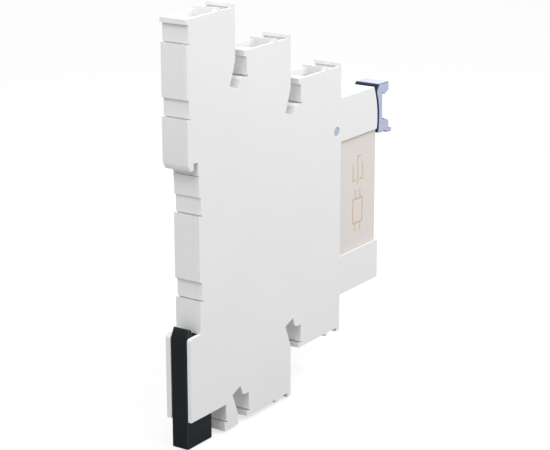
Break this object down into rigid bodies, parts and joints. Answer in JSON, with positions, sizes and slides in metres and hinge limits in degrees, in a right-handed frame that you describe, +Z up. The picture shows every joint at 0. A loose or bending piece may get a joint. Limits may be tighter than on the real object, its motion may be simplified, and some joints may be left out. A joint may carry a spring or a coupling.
{
  "type": "plug-in interface relay",
  "caption": "Slim stepped rail-mount relay socket with screw terminals, a plug-in relay held by a clear ejector lever, and a sprung rail foot.",
  "frame": {"origin": "centre of the flat face that rests on the mounting rail", "axes": "+Y towards the rail, -Y towards the front with relay and lever, +Z up, X across the thickness"},
  "size_m": [0.0062, 0.0774, 0.0893],
  "materials": {
    "housing_plastic": "fine satin moulded polyamide, light grey white",
    "foot_plastic": "satin black moulded plastic",
    "lever_plastic": "clear pale blue polycarbonate",
    "relay_case_plastic": "warm off white moulded plastic",
    "relay_base_plastic": "black moulded plastic",
    "coil_plastic": "natural moulded plastic",
    "clamp_steel": "zinc plated steel",
    "soft_iron": "bare soft iron",
    "contact_brass": "bare brass strip",
    "winding_copper": "enamelled copper wire",
    "board_laminate": "green laminate",
    "lamp_lens": "clear green lamp",
    "resistor_body": "lacquered resistor"
  },
  "bodies": {
    "housing": {"housing_body": "housing_plastic", "housing_cover": "housing_plastic", "foot_spring": "clamp_steel", "current_bar_nc": "contact_brass", "current_bar_com": "contact_brass", "current_bar_no": "contact_brass", "current_bar_coil_a": "contact_brass", "current_bar_coil_b": "contact_brass", "coil_fork_a": "contact_brass", "coil_fork_b": "contact_brass", "circuit_board": "board_laminate", "status_led": "lamp_lens", "series_resistor": "resistor_body", "suppressor_diode": "foot_plastic"},
    "foot": {"rail_foot": "foot_plastic"},
    "lever": {"ejector_lever": "lever_plastic"},
    "relay": {"relay_case": "relay_case_plastic", "relay_base": "relay_base_plastic", "coil_pin_a": "contact_brass", "coil_pin_b": "contact_brass", "coil_bobbin": "coil_plastic", "coil_winding": "winding_copper", "coil_core": "soft_iron", "coil_yoke": "soft_iron", "armature_spring": "clamp_steel", "nc_contact": "contact_brass", "common_contact": "contact_brass", "no_contact": "contact_brass"},
    "armature": {"armature": "soft_iron"},
    "card": {"pusher_card": "coil_plastic"},
    "blade": {"contact_blade": "contact_brass"},
    "screw_nc": {"clamp_screw_nc": "clamp_steel"},
    "cage_nc": {"clamp_cage_nc": "clamp_steel"},
    "screw_com": {"clamp_screw_com": "clamp_steel"},
    "cage_com": {"clamp_cage_com": "clamp_steel"},
    "screw_no": {"clamp_screw_no": "clamp_steel"},
    "cage_no": {"clamp_cage_no": "clamp_steel"},
    "screw_coil_a": {"clamp_screw_coil_a": "clamp_steel"},
    "cage_coil_a": {"clamp_cage_coil_a": "clamp_steel"},
    "screw_coil_b": {"clamp_screw_coil_b": "clamp_steel"},
    "cage_coil_b": {"clamp_cage_coil_b": "clamp_steel"}
  },
  "joints": [
    {"name": "foot_slide", "type": "slide", "parent": "housing", "child": "foot", "axis": [0, 0, -1], "range_m": [0, 0.0025], "stiffness_N_per_m": 800, "springref_m": -0.001, "deforming": ["foot_spring"]},
    {"name": "lever_swing", "type": "hinge", "parent": "housing", "child": "lever", "pos_m": [0, -0.0507, 0.0138], "axis": [-1, 0, 0], "range_deg": [0, 17]},
    {"name": "relay_eject", "type": "slide", "parent": "housing", "child": "relay", "axis": [0, -1, 0], "range_m": [0, 0.0008]},
    {"name": "armature_rock", "type": "hinge", "parent": "relay", "child": "armature", "pos_m": [0, -0.0567, -0.00165], "axis": [1, 0, 0], "range_deg": [0, 2.4], "stiffness_Nm_per_rad": 0.02},
    {"name": "card_push", "type": "slide", "parent": "relay", "child": "card", "axis": [0, 0, -1], "range_m": [0, 0.0005]},
    {"name": "blade_flex", "type": "hinge", "parent": "relay", "child": "blade", "pos_m": [0, -0.056, 0.0042], "axis": [1, 0, 0], "range_deg": [0, 2.6]},
    {"name": "turn_screw_nc", "type": "hinge", "parent": "housing", "child": "screw_nc", "pos_m": [0.0002, -0.0493, 0.0219], "axis": [0, 1, 0], "range_deg": [0, 1440]},
    {"name": "lift_cage_nc", "type": "slide", "parent": "housing", "child": "cage_nc", "axis": [0, -1, 0], "range_m": [0, 0.0021]},
    {"name": "turn_screw_com", "type": "hinge", "parent": "housing", "child": "screw_com", "pos_m": [0.0002, -0.02955, 0.0311], "axis": [0, 1, 0], "range_deg": [0, 1440]},
    {"name": "lift_cage_com", "type": "slide", "parent": "housing", "child": "cage_com", "axis": [0, -1, 0], "range_m": [0, 0.0021]},
    {"name": "turn_screw_no", "type": "hinge", "parent": "housing", "child": "screw_no", "pos_m": [0.0002, -0.0098, 0.0403], "axis": [0, 1, 0], "range_deg": [0, 1440]},
    {"name": "lift_cage_no", "type": "slide", "parent": "housing", "child": "cage_no", "axis": [0, -1, 0], "range_m": [0, 0.0021]},
    {"name": "turn_screw_coil_a", "type": "hinge", "parent": "housing", "child": "screw_coil_a", "pos_m": [0.0002, -0.0493, -0.0253], "axis": [0, 1, 0], "range_deg": [0, 1440]},
    {"name": "lift_cage_coil_a", "type": "slide", "parent": "housing", "child": "cage_coil_a", "axis": [0, -1, 0], "range_m": [0, 0.0021]},
    {"name": "turn_screw_coil_b", "type": "hinge", "parent": "housing", "child": "screw_coil_b", "pos_m": [0.0002, -0.02955, -0.0345], "axis": [0, 1, 0], "range_deg": [0, 1440]},
    {"name": "lift_cage_coil_b", "type": "slide", "parent": "housing", "child": "cage_coil_b", "axis": [0, -1, 0], "range_m": [0, 0.0021]}
  ],
  "couplings": [
    {"joint": "relay_eject", "follows": "lever_swing", "m_per_rad": 0.00236},
    {"joint": "card_push", "follows": "armature_rock", "m_per_rad": 0.0088},
    {"joint": "blade_flex", "follows": "armature_rock", "ratio": 0.927},
    {"joint": "lift_cage_nc", "follows": "turn_screw_nc", "m_per_rad": 0.000079577},
    {"joint": "lift_cage_com", "follows": "turn_screw_com", "m_per_rad": 0.000079577},
    {"joint": "lift_cage_no", "follows": "turn_screw_no", "m_per_rad": 0.000079577},
    {"joint": "lift_cage_coil_a", "follows": "turn_screw_coil_a", "m_per_rad": 0.000079577},
    {"joint": "lift_cage_coil_b", "follows": "turn_screw_coil_b", "m_per_rad": 0.000079577}
  ]
}
